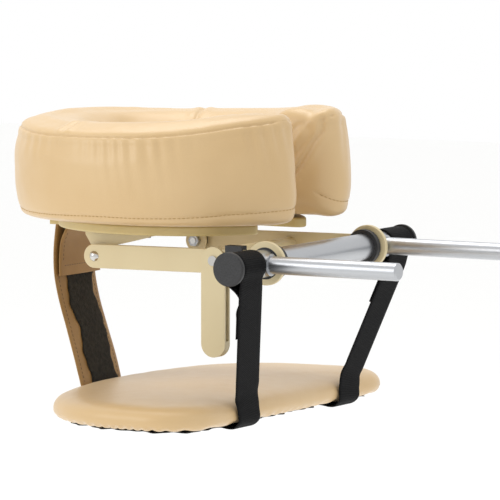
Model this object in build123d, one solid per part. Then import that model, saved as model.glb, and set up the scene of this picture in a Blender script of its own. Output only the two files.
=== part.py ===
from build123d import *
import math
import os

# Face cradle for a massage table: horseshoe cushion on a tilting platform, two arms on a
# crossbar with a clamp lever, and an arm shelf hung from straps. Millimetres.
# Origin: midpoint between the two posts, on the plane of the table's end.
# +X points into the table, +Z up. Near side is -Y.

# posts and crossbar
POST_SPACING = 216.0
POST_R = 8.0
POST_LENGTH = 130.0
COLLAR_R = 10.0
TENON_R = 6.0
BAR_R = 12.5
BAR_WALL = 2.0
BAR_X = -(BAR_R + 0.5)
BAR_HALF = 160.0
CAP_R = 15.5
CAP_T = 4.0

# arms
ARM_REACH = 181.0
ARM_DROP = 2.0
ARM_H = 22.0
ARM_T = 4.4
ARM_IN_Y = 93.0
ARM_ROUND = 0.8
EYE_R = 20.0
BUSH_T = 2.0
TIE_R = 6.0
TIE_BACK = 99.0

# pivot bolts between the arms and the platform brackets
BOLT_R = 3.0
HEAD_R = 4.9
HEAD_H = 2.7
SPACER_T = 5.0
SPACER_R = 9.0
NUT_AF = 10.0
NUT_H = 5.0

# clamp lever
LEVER_AHEAD = 53.0
LEVER_W = 25.0
LEVER_T = 9.0
LEVER_DROP = 88.0
LEVER_WEB = 15.0
LEVER_PIN_R = 3.0
SHOE_CHEEK = 2.6
SHOE_H = 16.0

# platform
CUSHION_X = -158.0
PLATE_LEN = 236.0
PLATE_WID = 214.0
PLATE_T = 9.0
PLATE_Z = 20.0
HOLE_LEN = 124.0
HOLE_WID = 114.0
PLATE_GAP = 74.0
STRAP_BAR_R = 3.0
STRAP_BAR_BACK = 6.0
STRAP_BAR_END = 8.0
STRAP_SIDE_GAP = 1.0
LUG_WALL = 2.0
LUG_ROOT = 6.0
NOTCH_DEPTH = 18.0
PLATE_ROUND = 2.0
BRACKET_T = 2.5
BRACKET_FLANGE = 18.0
SCREW_R = 2.0
SCREW_HEAD_R = 4.0
SCREW_HEAD_H = 2.2
HOOK_T = 1.4
LOOP_T = 1.6
PATCH_LEN = 100.0
PATCH_WID = 24.0
PATCH_Y = 82.0

# cushion
CUSHION_LEN = 303.0
CUSHION_WID = 293.0
CUSHION_H = 96.0
SEAM_H = 83.0
TIP_GAP = 46.0
TIP_ROUND = 22.0
INNER_ROUND = 14.0
CROWN_ROUND = 24.0
FOOT_ROUND = 5.0
SKIN = 1.2
MEMORY_T = 32.0

# arm shelf
SHELF_REAR_X = -34.0
SHELF_LEN = 207.0
SHELF_BOW = 50.0
SHELF_WID = 388.0
SHELF_BOTTOM_Z = -147.0
SHELF_T = 21.0
SHELF_REAR_ROUND = 50.0
SHELF_FRONT_ROUND = 115.0
SHELF_CROWN = 9.0
SHELF_FOOT = 4.0
BOARD_T = 9.0
BOARD_INSET = 5.0
TURN_UNDER = 30.0
CLOTH_T = 0.8

# straps
STRAP_W = 70.0
STRAP_T = 1.8
STRIP_W = 46.0
STRIP_T = 1.0
FLAP_TOP = 26.0
FLAP_DROP = 54.0
STRAP_KNEE_Z = -33.0
STRAP_KNEE_OUT = 1.5
TAIL_RUN = 45.0
WEB_W = 38.0
WEB_T = 1.6
WEB_TOP_Y = 138.0
WEB_FOOT_Y = 93.0
WEB_RUN = 46.0

# clearances
RUN = 0.05
GAP = 0.3
SIDE_GAP = 0.3

BAR = (BAR_X, 0.0)
PIVOT = (BAR_X - ARM_REACH, -ARM_DROP)
LEVER = (BAR_X - LEVER_AHEAD, 0.0)
ARM_OUT_Y = ARM_IN_Y + ARM_T
BRACKET_OUT_Y = ARM_IN_Y - SPACER_T
BRACKET_IN_Y = BRACKET_OUT_Y - BRACKET_T
PLATE_TOP = PLATE_Z + PLATE_T
CUSHION_Z = PLATE_TOP + HOOK_T + LOOP_T
PLATE_FRONT = CUSHION_X - PLATE_LEN / 2
STRAP_BAR = (PLATE_FRONT + STRAP_BAR_BACK, PLATE_Z + PLATE_T / 2)
SHELF_FRONT_X = SHELF_REAR_X - SHELF_LEN
SHELF_TOP_Z = SHELF_BOTTOM_Z + SHELF_T


def prism(points, y0, y1):
    outline = Polyline(*[(x, y0, z) for x, z in points], close=True)
    return extrude(make_face(outline), amount=y1 - y0, dir=(0, 1, 0))


def rod_y(centre, radius, y0, y1):
    place = Pos(centre[0], (y0 + y1) / 2, centre[1]) * Rot(90, 0, 0)
    return place * Cylinder(radius, y1 - y0)


def rod_x(y, z, radius, x0, x1):
    return Pos((x0 + x1) / 2, y, z) * Rot(0, 90, 0) * Cylinder(radius, x1 - x0)


def rod_z(x, y, radius, z0, z1):
    return Pos(x, y, (z0 + z1) / 2) * Cylinder(radius, z1 - z0)


def slab(x0, x1, y0, y1, z0, z1):
    place = Pos((x0 + x1) / 2, (y0 + y1) / 2, (z0 + z1) / 2)
    return place * Box(x1 - x0, y1 - y0, z1 - z0)


def far(shape):
    return mirror(shape, Plane.XZ)


def beside(points, reach):
    # the line that runs beside a bent line in the XZ plane, at an even distance
    line = []
    for i, (x, z) in enumerate(points):
        back = points[max(i - 1, 0)]
        on = points[min(i + 1, len(points) - 1)]
        into = math.atan2(z - back[1], x - back[0])
        out = math.atan2(on[1] - z, on[0] - x)
        if i == 0:
            into = out
        if i == len(points) - 1:
            out = into
        turn = math.remainder(out - into, math.tau)
        normal = into + turn / 2 + math.pi / 2
        away = reach / math.cos(turn / 2)
        line.append((x + away * math.cos(normal), z + away * math.sin(normal)))
    return line


def ribbon(points, thick, y0, y1):
    # a band of even thickness along a bent line in the XZ plane
    return prism(beside(points, thick / 2) + beside(points, -thick / 2)[::-1], y0, y1)


def joined(pieces):
    return Compound(children=[piece for shape in pieces for piece in shape.solids()])


def save(shape, node):
    export_step(shape, f"parts/{node}.step")


# --- base: crossbar and posts ---

def crossbar():
    tube = rod_y(BAR, BAR_R, -BAR_HALF, BAR_HALF)
    tube -= rod_y(BAR, BAR_R - BAR_WALL, -BAR_HALF, BAR_HALF)
    for side in (-1, 1):
        tube -= rod_x(side * POST_SPACING / 2, 0, TENON_R, BAR_X - 2 * BAR_R, BAR_X + 2 * BAR_R)
    return tube


def post(side):
    y = side * POST_SPACING / 2
    shaft = rod_x(y, 0, POST_R, 0, POST_LENGTH)
    shaft = chamfer(shaft.faces().sort_by(Axis.X)[-1].edges(), 1.5)
    return shaft + rod_x(y, 0, TENON_R, BAR_X - BAR_R + BAR_WALL / 2, 1)


def post_collars():
    rings = []
    for side in (-1, 1):
        y = side * POST_SPACING / 2
        ring = rod_x(y, 0, COLLAR_R, BAR_X + BAR_R * 0.55, 0)
        ring -= rod_x(y, 0, TENON_R, BAR_X, POST_LENGTH)
        rings.append(ring - rod_y(BAR, BAR_R, y - 2 * COLLAR_R, y + 2 * COLLAR_R))
    return joined(rings)


def crossbar_caps():
    cap = rod_y(BAR, CAP_R, BAR_HALF, BAR_HALF + CAP_T)
    cap = fillet(cap.faces().sort_by(Axis.Y)[-1].edges(), 1.5)
    cap += rod_y(BAR, BAR_R - BAR_WALL, BAR_HALF - 14, BAR_HALF + 1)
    return joined([cap, far(cap)])


def arm_stop_rings():
    outer = ARM_IN_Y - SHOE_CHEEK - 1.0
    ring = rod_y(BAR, BAR_R + 4, outer - 6, outer) - rod_y(BAR, BAR_R, outer - 7, outer + 1)
    return joined([ring, far(ring)])


# --- arms ---

def arm():
    dx, dz = PIVOT[0] - BAR[0], PIVOT[1] - BAR[1]
    run = math.hypot(dx, dz)
    nx, nz = -dz / run * ARM_H / 2, dx / run * ARM_H / 2
    bar = prism([(BAR[0] + nx, BAR[1] + nz), (PIVOT[0] + nx, PIVOT[1] + nz),
                 (PIVOT[0] - nx, PIVOT[1] - nz), (BAR[0] - nx, BAR[1] - nz)], ARM_IN_Y, ARM_OUT_Y)
    plate = bar + rod_y(PIVOT, ARM_H / 2, ARM_IN_Y, ARM_OUT_Y)
    plate += rod_y(BAR, EYE_R, ARM_IN_Y, ARM_OUT_Y)
    faces = plate.faces().sort_by(Axis.Y)
    plate = fillet(faces[0].edges() + faces[-1].edges(), ARM_ROUND)
    plate -= rod_y(BAR, BAR_R + BUSH_T, ARM_IN_Y - 1, ARM_OUT_Y + 1)
    return plate - rod_y(PIVOT, BOLT_R + RUN, ARM_IN_Y - 1, ARM_OUT_Y + 1)


def arm_near():
    return far(arm()) - rod_y(LEVER, LEVER_PIN_R + RUN, -ARM_OUT_Y - 1, -ARM_IN_Y + 1)


def arm_bushes():
    bush = rod_y(BAR, BAR_R + BUSH_T, ARM_IN_Y, ARM_OUT_Y)
    bush -= rod_y(BAR, BAR_R + RUN, ARM_IN_Y - 1, ARM_OUT_Y + 1)
    return joined([bush, far(bush)])


def tie_tube():
    centre = (PIVOT[0] + TIE_BACK, PIVOT[1] + ARM_DROP * TIE_BACK / ARM_REACH)
    tube = rod_y(centre, TIE_R, -ARM_IN_Y, ARM_IN_Y)
    return tube - rod_y(centre, TIE_R - 1.5, -ARM_IN_Y, ARM_IN_Y)


def brake_shoe():
    inner, outer = -ARM_IN_Y + SHOE_CHEEK, -ARM_OUT_Y - SHOE_CHEEK
    front = LEVER[0] + LEVER_W / 2 + GAP
    block = slab(front, BAR_X - BAR_R + 2, outer, inner, -SHOE_H / 2, ARM_H / 2 + 3.5)
    block -= slab(front - 1, BAR_X, -ARM_OUT_Y - RUN, -ARM_IN_Y + RUN, -SHOE_H, ARM_H / 2 + RUN)
    block -= rod_y(BAR, EYE_R + GAP, -ARM_OUT_Y - RUN, -ARM_IN_Y + RUN)
    block -= slab(BAR_X - EYE_R - 3, BAR_X, outer - 1, inner + 1, SHOE_H / 2, ARM_H)
    return block - rod_y(BAR, BAR_R + GAP, outer - 1, inner + 1)


# --- clamp lever ---

def clamp_lever():
    middle = -(ARM_IN_Y + ARM_OUT_Y) / 2
    y0, y1 = middle - LEVER_T / 2, middle + LEVER_T / 2
    foot = (LEVER[0], LEVER[1] - LEVER_DROP + LEVER_W / 2)
    half = LEVER_W / 2
    body = slab(LEVER[0] - half, LEVER[0] + half, y0, y1, foot[1], LEVER[1])
    body += rod_y(LEVER, half, y0, y1)
    body += rod_y(foot, half, y0, y1)
    slot_floor = -LEVER_DROP + LEVER_WEB
    body -= slab(LEVER[0] - LEVER_W, LEVER[0] + LEVER_W, -ARM_OUT_Y - SIDE_GAP,
                 -ARM_IN_Y + SIDE_GAP, slot_floor, LEVER_W)
    return body - rod_y(LEVER, LEVER_PIN_R, y0 - 1, y1 + 1)


def lever_pin():
    middle = -(ARM_IN_Y + ARM_OUT_Y) / 2
    pin = rod_y(LEVER, LEVER_PIN_R, middle - LEVER_T / 2, middle + LEVER_T / 2)
    for side in (-1, 1):
        a, b = sorted((middle + side * LEVER_T / 2, middle + side * (LEVER_T / 2 + 1.4)))
        pin += rod_y(LEVER, LEVER_PIN_R + 1.6, a, b)
    return pin


# --- platform ---

def screw_spots():
    y = BRACKET_IN_Y - BRACKET_FLANGE / 2
    spots = [(PIVOT[0] + 6, y), (PIVOT[0] + 44, y)]
    return [(x, side * y) for x, y in spots for side in (-1, 1)]


def strap_bar():
    half = STRAP_W / 2 + STRAP_BAR_END
    return rod_y(STRAP_BAR, STRAP_BAR_R, -half, half)


def platform_plate():
    face = Ellipse(PLATE_LEN / 2, PLATE_WID / 2) - Ellipse(HOLE_LEN / 2, HOLE_WID / 2)
    face -= Pos(PLATE_LEN / 2, 0) * Rectangle(PLATE_LEN, PLATE_GAP)
    plate = Pos(CUSHION_X, 0, PLATE_Z) * extrude(face, amount=PLATE_T)
    plate = fillet(plate.edges().filter_by(Axis.Z), 8)
    faces = plate.faces().sort_by(Axis.Z)
    plate = fillet(faces[0].edges() + faces[-1].edges(), PLATE_ROUND)
    half = STRAP_W / 2 + STRAP_SIDE_GAP
    lug = STRAP_W / 2 + STRAP_BAR_END + LUG_WALL
    lug_front = STRAP_BAR[0] - STRAP_BAR_R - LUG_WALL
    # the oval edge is too thin to hold the bar's ends, so square lugs carry them either side of the notch
    plate += slab(lug_front, PLATE_FRONT + NOTCH_DEPTH + LUG_ROOT, -lug, lug, PLATE_Z, PLATE_TOP)
    plate -= slab(PLATE_FRONT - 9, PLATE_FRONT + NOTCH_DEPTH, -half, half, PLATE_Z - 1, PLATE_TOP + 1)
    plate -= strap_bar()
    for x, y in screw_spots():
        plate -= rod_z(x, y, SCREW_R, PLATE_Z - 1, PLATE_Z + PLATE_T * 0.7)
    return plate


def bracket():
    x, z = PIVOT
    reach = ARM_H / 2
    side = prism([(x - 15, PLATE_Z), (x - 15, PLATE_Z - 3), (x - 8, z + 8), (x + 8, z + 8),
                  (x + 30, PLATE_Z - 9), (x + 54, PLATE_Z - 3), (x + 54, PLATE_Z)],
                 BRACKET_IN_Y, BRACKET_OUT_Y)
    side += rod_y(PIVOT, reach, BRACKET_IN_Y, BRACKET_OUT_Y)
    flange = slab(x - 15, x + 54, BRACKET_IN_Y - BRACKET_FLANGE, BRACKET_OUT_Y,
                  PLATE_Z - BRACKET_T, PLATE_Z)
    whole = side + flange - rod_y(PIVOT, BOLT_R, BRACKET_IN_Y - 1, BRACKET_OUT_Y + 1)
    for sx, sy in screw_spots():
        whole -= rod_z(sx, sy, SCREW_R, PLATE_Z - BRACKET_T - 1, PLATE_Z + 1)
    return whole


def bracket_screws():
    screws = []
    for x, y in screw_spots():
        base = PLATE_Z - BRACKET_T
        shank = rod_z(x, y, SCREW_R, base, PLATE_Z + PLATE_T * 0.7)
        screws.append(shank + rod_z(x, y, SCREW_HEAD_R, base - SCREW_HEAD_H, base))
    return joined(screws)


def pivot_bolt():
    shank = rod_y(PIVOT, BOLT_R, BRACKET_IN_Y - NUT_H - 1, ARM_OUT_Y + RUN)
    ball_r = (HEAD_R ** 2 + HEAD_H ** 2) / (2 * HEAD_H)
    ball = Pos(PIVOT[0], ARM_OUT_Y + RUN + HEAD_H - ball_r, PIVOT[1]) * Sphere(ball_r)
    dome = ball & rod_y(PIVOT, HEAD_R + 1, ARM_OUT_Y + RUN, ARM_OUT_Y + 2 * HEAD_H)
    return shank + dome


def pivot_nut():
    place = Pos(PIVOT[0], BRACKET_IN_Y, PIVOT[1]) * Rot(90, 0, 0)
    hexagon = place * extrude(RegularPolygon(NUT_AF / 2, 6, major_radius=False), amount=NUT_H)
    return hexagon - rod_y(PIVOT, BOLT_R, BRACKET_IN_Y - NUT_H - 2, BRACKET_IN_Y + 1)


def pivot_spacer():
    ring = rod_y(PIVOT, SPACER_R, BRACKET_OUT_Y, ARM_IN_Y - RUN)
    return ring - rod_y(PIVOT, BOLT_R, BRACKET_OUT_Y - 1, ARM_IN_Y + 1)


def patches(z, thick):
    x0, x1 = CUSHION_X - PATCH_LEN / 2, CUSHION_X + PATCH_LEN / 2
    y0, y1 = PATCH_Y - PATCH_WID / 2, PATCH_Y + PATCH_WID / 2
    strip = slab(x0, x1, y0, y1, z, z + thick)
    return joined([strip, far(strip)])


# --- cushion ---

def horseshoe(inset):
    face = Ellipse(CUSHION_LEN / 2 - inset, CUSHION_WID / 2 - inset)
    face -= Ellipse(HOLE_LEN / 2 + inset, HOLE_WID / 2 + inset)
    face -= Pos(CUSHION_LEN / 2, 0) * Rectangle(CUSHION_LEN, TIP_GAP + 2 * inset)
    corners = face.vertices().sort_by(Axis.X)
    face = fillet(corners[-2:], TIP_ROUND - inset)
    inner = [v for v in face.vertices() if abs(abs(v.Y) - TIP_GAP / 2 - inset) < 0.5]
    inner = ShapeList(inner).sort_by(Axis.X)[:2]
    face = fillet(inner, INNER_ROUND + inset)
    body = extrude(face, amount=CUSHION_H - 2 * inset)
    body = fillet(body.faces().sort_by(Axis.Z)[-1].edges(), CROWN_ROUND - inset)
    body = fillet(body.faces().sort_by(Axis.Z)[0].edges(), FOOT_ROUND - inset)
    return Pos(CUSHION_X, 0, CUSHION_Z + inset) * body


def band(shape, z0, z1):
    reach = CUSHION_LEN
    return shape & slab(CUSHION_X - reach, CUSHION_X + reach, -reach, reach, z0, z1)


# --- arm shelf ---

def shelf_solid(inset, z0, z1, crown, foot):
    half = SHELF_WID / 2 - inset
    x0, x1 = SHELF_FRONT_X + SHELF_BOW + inset, SHELF_REAR_X - inset
    sides = Polyline((x0, -half), (x1, -half), (x1, half), (x0, half))
    face = make_face(sides + ThreePointArc((x0, half), (x0 - SHELF_BOW, 0), (x0, -half)))
    face = fillet(face.vertices().sort_by(Axis.X)[-2:], SHELF_REAR_ROUND - inset)
    face = fillet(face.vertices().sort_by(Axis.X)[:2], SHELF_FRONT_ROUND - inset)
    body = Pos(0, 0, z0) * extrude(face, amount=z1 - z0)
    if crown:
        body = fillet(body.faces().sort_by(Axis.Z)[-1].edges(), crown)
    if foot:
        body = fillet(body.faces().sort_by(Axis.Z)[0].edges(), foot)
    return body


def shelf_board():
    z0 = SHELF_BOTTOM_Z + SKIN
    return shelf_solid(BOARD_INSET, z0, z0 + BOARD_T, 0, 0)


def shelf_inside():
    return shelf_solid(SKIN, SHELF_BOTTOM_Z + SKIN, SHELF_TOP_Z - SKIN, SHELF_CROWN - SKIN,
                       SHELF_FOOT - SKIN)


def shelf_foam():
    return shelf_inside() - shelf_board()


def shelf_cover():
    shell = shelf_solid(0, SHELF_BOTTOM_Z, SHELF_TOP_Z, SHELF_CROWN, SHELF_FOOT) - shelf_inside()
    return shell - shelf_solid(TURN_UNDER, SHELF_BOTTOM_Z - 1, SHELF_BOTTOM_Z + SKIN, 0, 0)


def shelf_dust_cloth():
    z1 = SHELF_BOTTOM_Z + SKIN
    return shelf_solid(TURN_UNDER + GAP, z1 - CLOTH_T, z1, 0, 0)


# --- straps ---

def rear_webbing():
    y0, y1 = WEB_FOOT_Y - WEB_W / 2, WEB_FOOT_Y + WEB_W / 2
    back = SHELF_REAR_X + WEB_T / 2
    under = SHELF_BOTTOM_Z - WEB_T / 2
    rise = SHELF_BOTTOM_Z + SHELF_T * 0.6
    foot = ribbon([(back - WEB_RUN, under), (back, under), (back, rise)], WEB_T, y0, y1)
    base = Plane(origin=(back, WEB_FOOT_Y, rise - 0.5)) * Rectangle(WEB_T, WEB_W)
    top = Plane(origin=(BAR_X, WEB_TOP_Y, -BAR_R - GAP - 1)) * Rectangle(2 * WEB_T, WEB_W)
    a, b = WEB_TOP_Y - WEB_W / 2, WEB_TOP_Y + WEB_W / 2
    loop = rod_y(BAR, BAR_R + GAP + WEB_T, a, b)
    whole = foot + loft([base, top]) + loop
    return whole - rod_y(BAR, BAR_R + GAP, a - 1, b + 1)


def strap_line():
    # middle of the front strap, from the shelf's front edge up to its turn over the strap bar
    top = (STRAP_BAR[0] - STRAP_BAR_R - GAP - STRAP_T / 2, STRAP_BAR[1])
    knee = (top[0] - STRAP_KNEE_OUT, STRAP_KNEE_Z)
    foot = (SHELF_FRONT_X - 1.2 - STRAP_T / 2, SHELF_BOTTOM_Z)
    return [foot, knee, top]


def front_strap():
    foot, knee, top = strap_line()
    half = STRAP_W / 2
    behind = top[0] + STRAP_T + STRIP_T
    back = (2 * STRAP_BAR[0] - top[0], STRAP_BAR[1])
    flap = [back, (behind, top[1] - FLAP_TOP), (behind - 0.4, top[1] - FLAP_DROP)]
    turn = rod_y(STRAP_BAR, STRAP_BAR_R + GAP + STRAP_T, -half, half)
    strap = ribbon([foot, knee, top], STRAP_T, -half, half) + ribbon(flap, STRAP_T, -half, half)
    return strap + turn - rod_y(STRAP_BAR, STRAP_BAR_R + GAP, -half - 1, half + 1)


def strap_loop_strip():
    foot, knee, top = beside(strap_line(), -(STRAP_T + STRIP_T) / 2)
    near_top = (top[0] - 0.7, top[1] - FLAP_TOP - 4)
    near_foot = (foot[0] + (knee[0] - foot[0]) * 0.03, foot[1] + (knee[1] - foot[1]) * 0.03)
    return ribbon([near_foot, knee, near_top], STRIP_T, -STRIP_W / 2, STRIP_W / 2)


def front_strap_tail():
    x0 = SHELF_FRONT_X + 2
    half = STRAP_W / 2
    z = SHELF_BOTTOM_Z
    return slab(x0, x0 + TAIL_RUN, -half, half, z - STRAP_T, z)


def strap_tail_screws():
    z = SHELF_BOTTOM_Z
    heads = []
    for x, y in [(SHELF_FRONT_X + 34, 0), (SHELF_FRONT_X + 34, 22), (SHELF_FRONT_X + 34, -22)]:
        heads.append(rod_z(x, y, 4.5, z - STRAP_T - 1.6, z - STRAP_T))
    for side in (-1, 1):
        for dy in (-10, 10):
            x = SHELF_REAR_X - WEB_RUN + 10
            heads.append(rod_z(x, side * WEB_FOOT_Y + dy, 4.5, z - WEB_T - 1.6, z - WEB_T))
    return joined(heads)


os.makedirs("parts", exist_ok=True)

save(crossbar(), "crossbar")
save(post(-1), "post_near")
save(post(1), "post_far")
save(post_collars(), "post_collars")
save(crossbar_caps(), "crossbar_caps")
save(arm_stop_rings(), "arm_stop_rings")

save(arm_near(), "arm_near")
save(arm(), "arm_far")
save(arm_bushes(), "arm_bushes")
save(tie_tube(), "arm_tie_tube")
save(brake_shoe(), "brake_shoe")

save(clamp_lever(), "clamp_lever")
save(lever_pin(), "lever_pin")

save(platform_plate(), "platform_plate")
save(strap_bar(), "strap_bar")
save(far(bracket()), "bracket_near")
save(bracket(), "bracket_far")
save(bracket_screws(), "bracket_screws")
save(joined([pivot_bolt(), far(pivot_bolt())]), "pivot_bolts")
save(joined([pivot_nut(), far(pivot_nut())]), "pivot_nuts")
save(joined([pivot_spacer(), far(pivot_spacer())]), "pivot_spacers")
save(patches(PLATE_TOP, HOOK_T), "platform_hook_strips")

outside = horseshoe(0)
inside = horseshoe(SKIN)
cover = outside - inside
split = CUSHION_Z + CUSHION_H - MEMORY_T
save(band(cover, CUSHION_Z + SEAM_H, CUSHION_Z + CUSHION_H), "cushion_top_panel")
save(band(cover, CUSHION_Z + SKIN, CUSHION_Z + SEAM_H), "cushion_side_band")
save(band(cover, CUSHION_Z, CUSHION_Z + SKIN), "cushion_base_panel")
save(band(inside, CUSHION_Z, split), "cushion_base_foam")
save(band(inside, split, CUSHION_Z + CUSHION_H), "cushion_memory_foam")
save(patches(PLATE_TOP + HOOK_T, LOOP_T), "cushion_loop_strips")

save(shelf_board(), "shelf_board")
save(shelf_foam(), "shelf_foam")
save(shelf_cover(), "shelf_cover")
save(shelf_dust_cloth(), "shelf_dust_cloth")
save(far(rear_webbing()), "rear_webbing_near")
save(rear_webbing(), "rear_webbing_far")
save(front_strap_tail(), "front_strap_tail")
save(strap_tail_screws(), "shelf_strap_screws")

save(front_strap(), "front_strap")
save(strap_loop_strip(), "strap_loop_strip")
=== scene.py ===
import bpy
import math
import numpy as np
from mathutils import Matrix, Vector, noise
from mathutils.kdtree import KDTree


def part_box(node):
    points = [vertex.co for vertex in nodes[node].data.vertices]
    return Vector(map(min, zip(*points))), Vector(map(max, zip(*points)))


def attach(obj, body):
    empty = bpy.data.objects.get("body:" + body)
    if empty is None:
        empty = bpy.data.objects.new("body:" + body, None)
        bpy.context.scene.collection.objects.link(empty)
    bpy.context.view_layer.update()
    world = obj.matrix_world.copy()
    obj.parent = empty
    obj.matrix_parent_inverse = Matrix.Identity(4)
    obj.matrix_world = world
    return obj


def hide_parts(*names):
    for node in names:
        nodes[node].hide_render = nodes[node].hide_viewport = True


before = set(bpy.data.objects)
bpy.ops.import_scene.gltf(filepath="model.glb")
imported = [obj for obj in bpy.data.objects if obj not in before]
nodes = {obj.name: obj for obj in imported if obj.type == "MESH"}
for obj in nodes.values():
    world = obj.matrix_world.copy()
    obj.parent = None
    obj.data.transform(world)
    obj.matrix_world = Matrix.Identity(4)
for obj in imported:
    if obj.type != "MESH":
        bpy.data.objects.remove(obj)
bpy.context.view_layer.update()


# ---------------------------------------------------------------- camera and studio
# A long lens stands four and a half metres off, low and to the near front corner.
# The part hangs clear of a pale floor, as it does on its table.

def linear(code):
    parts = [int(code[i:i + 2], 16) / 255 for i in (1, 3, 5)]
    return tuple(p / 12.92 if p <= 0.04045 else ((p + 0.055) / 1.055) ** 2.4 for p in parts) + (1.0,)


def add(material, kind, inputs={}, stops=(), **settings):
    # one node with its settings and links; stops are the places and colours of a ramp
    node = material.node_tree.nodes.new("ShaderNode" + kind)
    for name, value in settings.items():
        setattr(node, name, value)
    for k, (place, code) in enumerate(stops):
        element = node.color_ramp.elements[k] if k < 2 else node.color_ramp.elements.new(place)
        element.position, element.color = place, linear(code)
    for name, value in inputs.items():
        socket = node.inputs[name]
        if isinstance(value, bpy.types.NodeSocket):
            material.node_tree.links.new(value, socket)
        else:
            socket.default_value = value
    return node


def new_material(name):
    material = bpy.data.materials.new(name)
    material.use_nodes = True
    material.node_tree.nodes.clear()
    return material


def finish_material(material, shader):
    add(material, "OutputMaterial", {"Surface": shader.outputs[0]})
    return material


VIEW_TURN = math.radians(59.9)
VIEW_RISE = math.radians(5.38)
VIEW_DISTANCE = 4.561
LENS_MM = 353.2
cushion_centre = Vector((-0.158, 0.0, 0.032))
ahead = Vector((-math.cos(VIEW_TURN) * math.cos(VIEW_RISE),
                math.sin(VIEW_TURN) * math.cos(VIEW_RISE), -math.sin(VIEW_RISE)))
rightward = Vector((math.sin(VIEW_TURN), math.cos(VIEW_TURN), 0))
upward = rightward.cross(ahead)
aim = cushion_centre + rightward * 0.0631 - upward * 0.0345
camera = bpy.data.objects.new("camera", bpy.data.cameras.new("camera"))
camera.data.lens = LENS_MM
camera.data.sensor_width = 36
camera.location = aim - ahead * VIEW_DISTANCE
camera.rotation_euler = ahead.to_track_quat("-Z", "Y").to_euler()
bpy.context.scene.collection.objects.link(camera)
bpy.context.scene.camera = camera

FLOOR_Z = -0.62
floor_mesh = bpy.data.meshes.new("floor")
floor_mesh.from_pydata([(-9, -9, FLOOR_Z), (9, -9, FLOOR_Z), (9, 9, FLOOR_Z), (-9, 9, FLOOR_Z)], [], [(0, 1, 2, 3)])
floor = bpy.data.objects.new("floor", floor_mesh)
bpy.context.scene.collection.objects.link(floor)
pale = new_material("pale_matt_floor")
floor_mesh.materials.append(finish_material(pale, add(pale, "BsdfPrincipled", {
    "Base Color": linear("#FDFDFC"), "Roughness": 0.9})))

WORLD_STRENGTH = 1.0
world = bpy.data.worlds.new("studio")
world.use_nodes = True
world.node_tree.nodes["Background"].inputs["Color"].default_value = linear("#FFFFFF")
world.node_tree.nodes["Background"].inputs["Strength"].default_value = WORLD_STRENGTH
bpy.context.scene.world = world


def softbox(name, place, size, watts):
    light = bpy.data.lights.new(name, "AREA")
    light.shape = "RECTANGLE"
    light.size, light.size_y = size
    light.energy = watts
    lamp = bpy.data.objects.new(name, light)
    lamp.location = place
    lamp.rotation_euler = (cushion_centre - Vector(place)).to_track_quat("-Z", "Y").to_euler()
    bpy.context.scene.collection.objects.link(lamp)


softbox("overhead", (-0.6, 0.5, 2.2), (1.6, 1.6), 30)
softbox("front_fill", (-1.6, -2.2, 0.9), (1.4, 1.4), 16)
bpy.context.scene.view_settings.view_transform = "Standard"


# ---------------------------------------------------------------- cushion
# Firm foam horseshoe with a softer top layer, in a cover sewn from a plain side band and a
# top panel that rolls over into the face hole. It sticks to the platform with hook and loop.

CUSHION_LEN, CUSHION_WID = 0.300, 0.290     # outline, nose to tips and across
CUSHION_SQUARE = 2.2                        # how far the outline is from an ellipse
FACE_LEN, FACE_WID = 0.124, 0.114
TIP_GAP = 0.044
TIP_ROUND = 0.026
base_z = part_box("cushion_base_panel")[0].z


def spread(keys, values, x):
    # smooth values along a list of keys
    x = np.clip(np.asarray(x, float), keys[0], keys[-1])
    i = np.clip(np.searchsorted(keys, x, side="right") - 1, 0, len(keys) - 2)
    k, v = np.asarray(keys, float), np.asarray(values, float)
    f = (x - k[i]) / (k[i + 1] - k[i])
    slope = np.gradient(v, k)
    step = k[i + 1] - k[i]
    return ((2 * f**3 - 3 * f**2 + 1) * v[i] + (f**3 - 2 * f**2 + f) * step * slope[i]
            + (3 * f**2 - 2 * f**3) * v[i + 1] + (f**3 - f**2) * step * slope[i + 1])


def oval(length, width, angle, power):
    c, s = np.cos(angle), np.sin(angle)
    return (length / 2 * np.sign(c) * np.abs(c) ** (2 / power),
            width / 2 * np.sign(s) * np.abs(s) ** (2 / power))


def loop_curve(points, count, closed=True, crowd=0.0):
    # points along a smooth curve, crowded towards its start; tangents allow for uneven spacing
    p = np.asarray(points, float)
    p = np.vstack([p, p[:1]]) if closed else p
    chord = np.linalg.norm(np.diff(p, axis=0), axis=1)
    slope = np.diff(p, axis=0) / chord[:, None]
    before, after = (np.r_[chord[-1], chord], np.r_[chord, chord[0]]) if closed else (
        np.r_[chord[0], chord], np.r_[chord, chord[-1]])
    slope_in, slope_out = (np.vstack([slope[-1:], slope]), np.vstack([slope, slope[:1]])) if closed else (
        np.vstack([slope[:1], slope]), np.vstack([slope, slope[-1:]]))
    tangent = (slope_in * after[:, None] + slope_out * before[:, None]) / (before + after)[:, None]
    f = np.arange(0, 1, 0.05)[:, None]
    fine = [(2 * f**3 - 3 * f**2 + 1) * p[i] + (f**3 - 2 * f**2 + f) * chord[i] * tangent[i]
            + (3 * f**2 - 2 * f**3) * p[i + 1] + (f**3 - f**2) * chord[i] * tangent[i + 1] for i in range(len(chord))]
    fine = np.vstack(fine + [p[-1:]])
    run = np.r_[0, np.cumsum(np.linalg.norm(np.diff(fine, axis=0), axis=1))]
    t = np.linspace(0, 1, count + 1 if closed else count)
    want = run[-1] * (t - crowd * np.sin(2 * math.pi * t) / (2 * math.pi))
    out = np.stack([np.interp(want, run, fine[:, k]) for k in range(fine.shape[1])], 1)
    return out[:-1] if closed else out


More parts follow.
